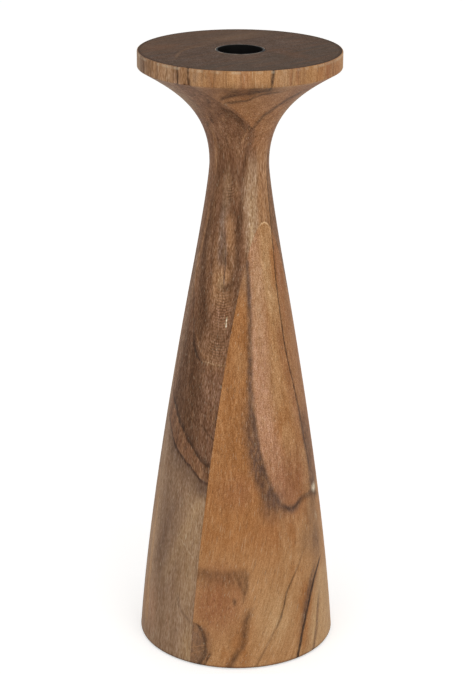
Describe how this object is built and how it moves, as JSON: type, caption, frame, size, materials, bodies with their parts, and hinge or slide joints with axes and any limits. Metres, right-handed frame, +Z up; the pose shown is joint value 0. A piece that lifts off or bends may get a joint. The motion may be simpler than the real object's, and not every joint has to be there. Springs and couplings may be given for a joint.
{
  "type": "candle holder",
  "caption": "Tall turned wooden candle holder: a waisted cone stem under a flat round dish, with a black steel cup sunk in the dish for a dinner candle.",
  "frame": {"origin": "on the table under the turning axis, at the centre of the felt's underside", "axes": "+Z up along the turning axis, -Y out of the front board's face, +X to the right of someone who faces that board"},
  "size_m": [0.1014, 0.1014, 0.311],
  "materials": {
    "core_wood": "oiled, figured, grey-brown",
    "front_wood": "oiled, figured, amber-brown",
    "back_wood": "oiled, straight grained, tan-brown",
    "cup_steel": "black, satin",
    "felt": "dark wool felt"
  },
  "bodies": {
    "root": {"core_board": "core_wood", "cone_front_board": "front_wood", "cone_back_board": "back_wood", "dish_front_board": "front_wood", "dish_back_board": "back_wood", "candle_cup": "cup_steel", "base_felt": "felt"}
  },
  "joints": []
}
